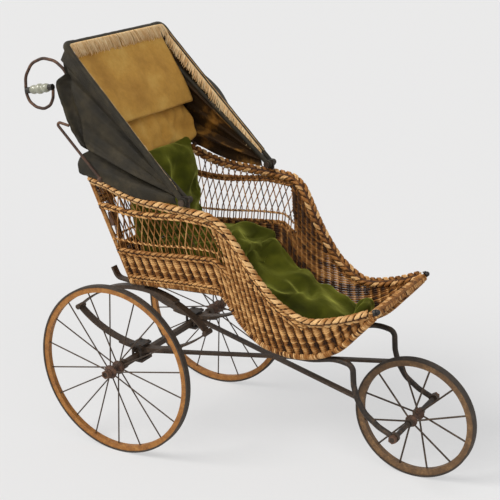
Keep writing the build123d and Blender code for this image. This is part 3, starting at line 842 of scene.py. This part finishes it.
def fold_sheet(path, half, columns, seed, belly, flare, slack_by, crumple=0.0):
    """A lining panel hung across the hood along an (x, z) path, with slack folds."""
    side = np.linspace(-1, 1, columns)
    grid = []
    for i, (x, z) in enumerate(path):
        f = i / (len(path) - 1)
        w = half + flare * math.exp(-((f - 0.5) / 0.1) ** 2)
        row = []
        for s in side:
            slack = belly * math.sin(math.pi * f) * (1 - s * s)
            loose = slack_by * math.sin(math.pi * f)
            tuck = crumple * math.exp(-((f - 0.74) / 0.16) ** 2) * rough(s * 4 + 3 * f, f * 9, 2.3, seed)
            sway = loose * rough(s * 2.5, f * 4, 0.4, seed) + loose * rough(s * 6, f * 7, 1.4, seed)
            row.append((x + slack + sway + tuck, s * w, z + loose * rough(s * 3, f * 3, 3.1, seed + 2)))
        grid.append(row)
    return np.array(grid)


def offset(point, dx, dz):
    return (point[0] + dx, point[1] + dz)


shell = hood_shell()
hood = sheet_object("hood_cloth", shell, FINISHES["oilcloth"], FINISHES["hood_inside_shade_and_sheen"],
                    CLOTH_THICK)

roof_path = np.concatenate([
    along([offset(FRONT_TOP, 5, -8), (-90, 1080), (-44, 1000), offset(FOLD_LINE, 0, 6)], 26),
    along([FOLD_LINE, offset(FOLD_LINE, -7, 2), (-66, 1001), (-112, 1076), offset(MID_TOP, 8, 4)], 26)])
roof = fold_sheet(roof_path, LINING_HALF, 60, 11, 3.0, 8.0, 2.5)
roof_piece = sheet_object("hood_roof_lining", roof, FINISHES["oilcloth"], FINISHES["lining"],
                          LINING_THICK)

low_path = along([offset(MID_TOP, 2, -8), (-104, 1008), (-54, 936), (-18, 872), (-8, 842), (-28, 822),
                  (-66, 812)], 40)
low = fold_sheet(low_path, LINING_HALF - 6, 80, 23, 3.0, 0.0, 12.0, 22.0)
low_piece = sheet_object("hood_back_lining", low, FINISHES["oilcloth"], FINISHES["lining"],
                         LINING_THICK)


def bow_leg(direction, length, half, rho):
    """Centre of a bow's leg at a distance from the pivot."""
    y = half[0] + (half[1] - half[0]) * (rho / length)
    return np.stack([PIVOT[0] + direction[0] * rho, y, PIVOT[1] + direction[1] * rho], -1)


def gusset(side):
    """Side cloth between the two bows, packed beside the middle bow where it opens out."""
    rho = np.linspace(60, 530, 60)
    mid = bow_leg(MID_DIR, MID_LEN, (MID_LEG_Y[0] + 8, MID_LEG_Y[1] + 8), rho)
    front = bow_leg(FRONT_DIR, FRONT_LEN, (FRONT_LEG_Y[0] + 4, FRONT_LEG_Y[1] + 6), rho)
    front[:, [0, 2]] -= np.array([FRONT_DIR[1], -FRONT_DIR[0]]) * (BOW_R - 1)
    share = np.concatenate([np.linspace(0, 0.3, 14), np.linspace(0.36, 1, 10)])
    bulge = 12 + 46 * np.exp(-((rho - 300) / 100) ** 2) if side > 0 else 3.0
    grid = []
    for c in share:
        p = mid * (1 - c) + front * c
        p[:, 1] += bulge * math.sin(math.pi * c) * np.sin(math.pi * rho / 530)
        grid.append(p * (1, side, 1))
    return np.array(grid if side > 0 else grid[::-1])


gussets = []
for tag, side in (("right", -1), ("left", 1)):
    strip = gusset(side)
    gussets.append((sheet_object("hood_gusset_" + tag, strip, FINISHES["oilcloth"],
                                 FINISHES["hood_inside_shade_and_sheen"], LINING_THICK), strip))


def front_bow_line(step):
    """Centre line of the front bow's cloth, from the right leg to the left one, with rounded corners."""
    straight = FRONT_LEN - CLOTH_CORNER
    y_corner = FRONT_LEG_Y[1] - CLOTH_CORNER
    legs = bow_leg(FRONT_DIR, FRONT_LEN, FRONT_LEG_Y, np.linspace(40, straight, 84))
    bend = [(PIVOT[0] + FRONT_DIR[0] * (straight + CLOTH_CORNER * math.sin(t)),
             y_corner + CLOTH_CORNER * math.cos(t),
             PIVOT[1] + FRONT_DIR[1] * (straight + CLOTH_CORNER * math.sin(t)))
            for t in np.linspace(0, math.pi / 2, 14)]
    left = np.concatenate([legs, bend])
    return resample(np.concatenate([left * (1, -1, 1), left[::-1]]), step)


def from_pivot(line):
    return np.hypot(line[:, 0] - PIVOT[0], line[:, 2] - PIVOT[1])


def binding(line):
    """Dark cloth bound round the front bow, drawn square at its corners."""
    ring = np.linspace(0, 2 * math.pi, 13)[:-1]
    side = np.cross(unit(np.gradient(line, axis=0)), AHEAD)
    corner = np.exp(-((from_pivot(line) - FRONT_LEN + 12) / 26) ** 2) * (np.abs(line[:, 1]) > 185)
    grid = []
    for i, p in enumerate(line):
        r = BINDING_R + 1.5 * corner[i] + 0.7 * rough(p[1] / 22, p[2] / 22, 0.5, 3)
        grid.append([p + r * (math.cos(a) * AHEAD + math.sin(a) * side[i]) for a in ring])
    return np.array(grid)


def fringe(line):
    """Cut cord fringe under a woven heading, hung from the front bow."""
    s = Strands(4)
    inward = np.array([-FRONT_DIR[0], 0, -FRONT_DIR[1]])
    for i, (p, reach) in enumerate(zip(line, from_pivot(line))):
        if reach < FRINGE_START:
            continue
        top = np.clip((reach - FRONT_LEN + BOW_CORNER) / BOW_CORNER, 0, 1)
        across = top * inward + (1 - top) * np.array([0, -np.sign(p[1]), 0])
        lean = top * (inward + (0, 0, -0.5)) + (1 - top) * np.array([0, -0.55 * np.sign(p[1]), -1.0])
        lean = unit(lean + 0.12 * RNG.standard_normal(3))
        length = FRINGE_LEN * (1 + 0.10 * RNG.standard_normal()) * (0.7 + 0.3 * top) * min(1, reach / 100)
        root = p + across * BINDING_R * (1.1 - 0.55 * top)
        root = root + AHEAD * (BINDING_R * (0.1 + 0.65 * top) + 1.3 * (i % 3))
        f = np.linspace(0, 1, 5)[:, None]
        path = root + lean * length * f + np.array([0, 0, -3.0]) * f * f + AHEAD * 1.5 * np.sin(math.pi * f)
        s.add(path, np.linspace(1.15, 0.8, 5), 0.66 + 0.2 * RNG.standard_normal(), AHEAD)
    upper = line[from_pivot(line) > FRINGE_START][::4]
    across = np.cross(unit(np.gradient(upper, axis=0)), AHEAD)
    top = (np.abs(across[:, 1]) < 0.7)[:, None]
    for offs in (4.0, 6.6):
        on_front = AHEAD * (BINDING_R * 0.8) + across * offs
        on_inside = across * (BINDING_R + 0.8) + AHEAD * (offs - 4.0)
        s.add(upper + np.where(top, on_front, on_inside), 1.7, 0.62, AHEAD)
    return s


def piping(line):
    """Pale cord along the edge of the lining; on the right leg it ends where the roof lining does."""
    s = Strands(6)
    cord = line[(line[:, 1] > 0) | (from_pivot(line) > 300)][::8]
    inward = np.cross(unit(np.gradient(cord, axis=0)), AHEAD)
    s.add(cord + BINDING_R * (0.86 * AHEAD + 0.5 * inward), 1.3, 0.5, inward)
    return s


front_line = front_bow_line(1.1)
wrap = binding(front_line[::6])
binding_piece = add_object("hood_binding", wrap.reshape(-1, 3), tube_faces(*wrap.shape[:2]), "hood_front",
                           FINISHES["oilcloth"])
piping_piece = piping(front_line).build("hood_piping", "hood_front", "lining", FINISHES["piping"])
fringe_piece = fringe(front_line).build("hood_fringe", "hood_front", "lining", FINISHES["fringe"])


# Cushions

def quilt(node, name, cap, seed, wrinkle, out, swells):
    """A velvet cushion: the CAD solid remeshed, filled with air by a cloth simulation, then creased."""
    source = nodes[node]
    mesh = source.data.copy()
    obj = bpy.data.objects.new(name, mesh)
    obj.matrix_world = source.matrix_world.copy()
    bpy.context.scene.collection.objects.link(obj)
    mesh.transform(obj.matrix_world)
    obj.matrix_world = Matrix.Identity(4)
    mesh.materials.clear()
    mesh.materials.append(FINISHES["velvet"])
    remesh(obj, 0.0065)
    inflate(obj, cap, CUSHION_PRESSURE)
    crease(obj, seed, wrinkle, out, swells)
    sub = obj.modifiers.new("smooth", "SUBSURF")
    sub.levels = sub.render_levels = 1
    obj.data.polygons.foreach_set("use_smooth", [True] * len(obj.data.polygons))
    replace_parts(obj, node)
    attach(obj, "carriage")


def apply_modifiers(obj):
    graph = bpy.context.evaluated_depsgraph_get()
    done = bpy.data.meshes.new_from_object(obj.evaluated_get(graph))
    old = obj.data
    obj.modifiers.clear()
    obj.data = done
    bpy.data.meshes.remove(old)


def remesh(obj, voxel):
    mod = obj.modifiers.new("voxel", "REMESH")
    mod.mode = "VOXEL"
    mod.voxel_size = voxel
    apply_modifiers(obj)
    relax = obj.modifiers.new("relax", "SMOOTH")
    relax.factor = 0.5
    relax.iterations = 24
    apply_modifiers(obj)


def inflate(obj, cap, pressure):
    """Twenty frames of cloth under inner pressure, with the movement of each point capped."""
    n = len(obj.data.vertices)
    before = np.empty(n * 3)
    obj.data.vertices.foreach_get("co", before)
    cloth = obj.modifiers.new("cloth", "CLOTH")
    cloth.settings.use_pressure = True
    cloth.settings.uniform_pressure_force = pressure
    cloth.settings.effector_weights.gravity = 0
    cloth.settings.quality = 4
    cloth.point_cache.frame_start = 1
    cloth.point_cache.frame_end = 20
    scene = bpy.context.scene
    for k in range(1, 21):
        scene.frame_set(k)
        bpy.context.view_layer.update()
    apply_modifiers(obj)
    scene.frame_set(1)
    after = np.empty(n * 3)
    obj.data.vertices.foreach_get("co", after)
    move = (after - before).reshape(-1, 3)
    size = np.linalg.norm(move, axis=1, keepdims=True)
    move *= np.minimum(1, cap / np.maximum(size, 1e-9))
    obj.data.vertices.foreach_set("co", (before.reshape(-1, 3) + move).ravel())
    obj.data.update()


def crease(obj, seed, amount, out, swells):
    """Soft hollows and folds in the velvet on the side that faces out, and its fuller places."""
    mesh = obj.data
    n = len(mesh.vertices)
    co = np.empty(n * 3)
    nor = np.empty(n * 3)
    mesh.vertices.foreach_get("co", co)
    mesh.vertices.foreach_get("normal", nor)
    co, nor = co.reshape(-1, 3), nor.reshape(-1, 3)
    push = []
    for x, y, z in co:
        bend = 0.35 * noise.noise(Vector((x * 7, y * 7, z * 7 + seed)))
        broad = 1.1 - math.hypot(0.11, noise.noise(Vector((x * 7 + seed + bend, y * 5 + bend, z * 7))))
        fine = 1.1 - math.hypot(0.13, noise.noise(Vector((x * 13 + bend, y * 10 + seed, z * 13 + bend))))
        push.append(0.62 * broad ** 1.8 + 0.38 * fine ** 2 - 0.5)
    push = np.array(push)
    facing = 0.1 + 0.9 * np.clip(1.4 * nor @ np.array(out) - 0.1, 0, 1)
    co += nor * ((push - 0.2) * facing * amount)[:, None]
    x, z = co[:, 0] / MM + AXLE_X, co[:, 2] / MM
    for shift, near, reach in swells:
        co += np.array(shift) * MM * np.exp(-((x - near[0]) ** 2 + (z - near[1]) ** 2) / reach ** 2)[:, None]
    mesh.vertices.foreach_set("co", co.ravel())
    mesh.update()


quilt("seat_cushion", "velvet_seat", 0.009, 3.0, 0.066, (0, 0, 1), SEAT_SWELLS)
quilt("leg_cushion", "velvet_leg", 0.006, 9.0, 0.105, (0, 0, 1), LEG_SWELLS)
quilt("back_cushion", "velvet_back", 0.009, 5.0, 0.075, (1, 0, 0.1), BACK_SWELLS)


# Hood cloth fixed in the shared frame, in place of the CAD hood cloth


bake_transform(hood)
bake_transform(low_piece)
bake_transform(roof_piece)
for strip, _ in gussets:
    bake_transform(strip)
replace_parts(hood, "hood_back_cloth")
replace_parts(roof_piece, "hood_roof_cloth")


# Turned grips

def grip(side):
    """Turned ceramic grip, fuller than the CAD one, on the same centre line."""
    start = np.array([GRIP_START[0], side * ARM_Y, GRIP_START[1]])
    run = unit(np.array([GRIP_END[0], side * ARM_Y, GRIP_END[1]]) - start)
    distance, radius = np.array(GRIP, float).T
    s = Strands(28)
    s.add(start + run * distance[:, None], radius, 0.5, (0, 1, 0))
    return s


for tag, side in (("right", -1), ("left", 1)):
    piece = grip(side).build("turned_grip_" + tag, "carriage", "ceramic", FINISHES["ceramic"])
    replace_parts(piece, "handle_grip_" + tag)


# Finishes on the CAD pieces that stay

FINISH_BY_WORD = [
    ("tyre", "tyre"),
    ("right_rim", "wheel_rim"),
    ("left_rim", "wheel_rim"),
    ("front_rim", "front_rim"),
    ("_hub", "rusty_iron"),
    ("axle_nuts", "rusty_iron"),
    ("hood_rest", "rusty_iron"),
    ("handle_iron", "rusty_iron"),
    ("basket_floor", "wicker_floor"),
    ("_bow", "oilcloth"),
    ("ferrules", "black_metal"),
    ("knobs", "black_metal"),
]
for name, obj in nodes.items():
    kind = next((finish for word, finish in FINISH_BY_WORD if word in name), "iron")
    obj.data.materials.clear()
    obj.data.materials.append(FINISHES[kind])


# Camera, light and floor

def look():
    data = bpy.data.cameras.new("camera")
    data.lens = CAM_LENS
    data.sensor_width = CAM_SENSOR
    cam = bpy.data.objects.new("camera", data)
    axes = Matrix((CAM_RIGHT, [-c for c in CAM_DOWN], [-c for c in CAM_FORWARD])).transposed().to_4x4()
    cam.matrix_world = Matrix.Translation(CAM_PLACE) @ axes
    bpy.context.scene.collection.objects.link(cam)
    bpy.context.scene.camera = cam


def sun(name, towards, strength, softness, tint=(1, 1, 1)):
    data = bpy.data.lights.new(name, "SUN")
    data.energy = strength
    data.angle = math.radians(softness)
    data.color = tint
    obj = bpy.data.objects.new(name, data)
    obj.rotation_euler = Vector(towards).to_track_quat("-Z", "Y").to_euler()
    bpy.context.scene.collection.objects.link(obj)


def studio():
    world = bpy.data.worlds.new("world")
    bpy.context.scene.world = world
    world.use_nodes = True
    tree = world.node_tree
    back = tree.nodes["Background"]
    path = tree.nodes.new("ShaderNodeLightPath")
    seen = tree.nodes.new("ShaderNodeMath")
    seen.operation = "MAXIMUM"
    tree.links.new(path.outputs["Is Camera Ray"], seen.inputs[0])
    tree.links.new(path.outputs["Is Glossy Ray"], seen.inputs[1])
    mix = tree.nodes.new("ShaderNodeMix")
    mix.data_type = "RGBA"
    tree.links.new(seen.outputs[0], mix.inputs["Factor"])
    mix.inputs[6].default_value = (0.36, 0.36, 0.37, 1)
    mix.inputs[7].default_value = colour(236, 236, 236)
    tree.links.new(mix.outputs[2], back.inputs["Color"])
    sun("key", (0.45, 0.55, -0.70), 2.3, 30, (1.0, 0.98, 0.95))
    sun("fill", (-0.65, 0.50, -0.55), 0.55, 60)


def floor():
    mesh = bpy.data.meshes.new("floor")
    mesh.from_pydata([(-80, -80, 0), (80, -80, 0), (80, 80, 0), (-80, 80, 0)], [], [(0, 1, 2, 3)])
    obj = bpy.data.objects.new("floor", mesh)
    bpy.context.scene.collection.objects.link(obj)
    f = Finish("floor", 0.9)
    f.paint(colour(232, 232, 232))
    glow = f.node("ShaderNodeEmission")
    glow.inputs["Color"].default_value = colour(236, 236, 236)
    both = f.node("ShaderNodeMixShader")
    f.feed(both.inputs[0], f.math("MULTIPLY", f.node("ShaderNodeLightPath").outputs["Is Camera Ray"], 0.6))
    f.feed(both.inputs[1], f.shader.outputs[0])
    f.feed(both.inputs[2], glow.outputs[0])
    f.feed(f.tree.nodes["Material Output"].inputs["Surface"], both.outputs[0])
    mesh.materials.append(f.mat)


look()
studio()
floor()
bpy.context.scene.view_settings.view_transform = "Standard"
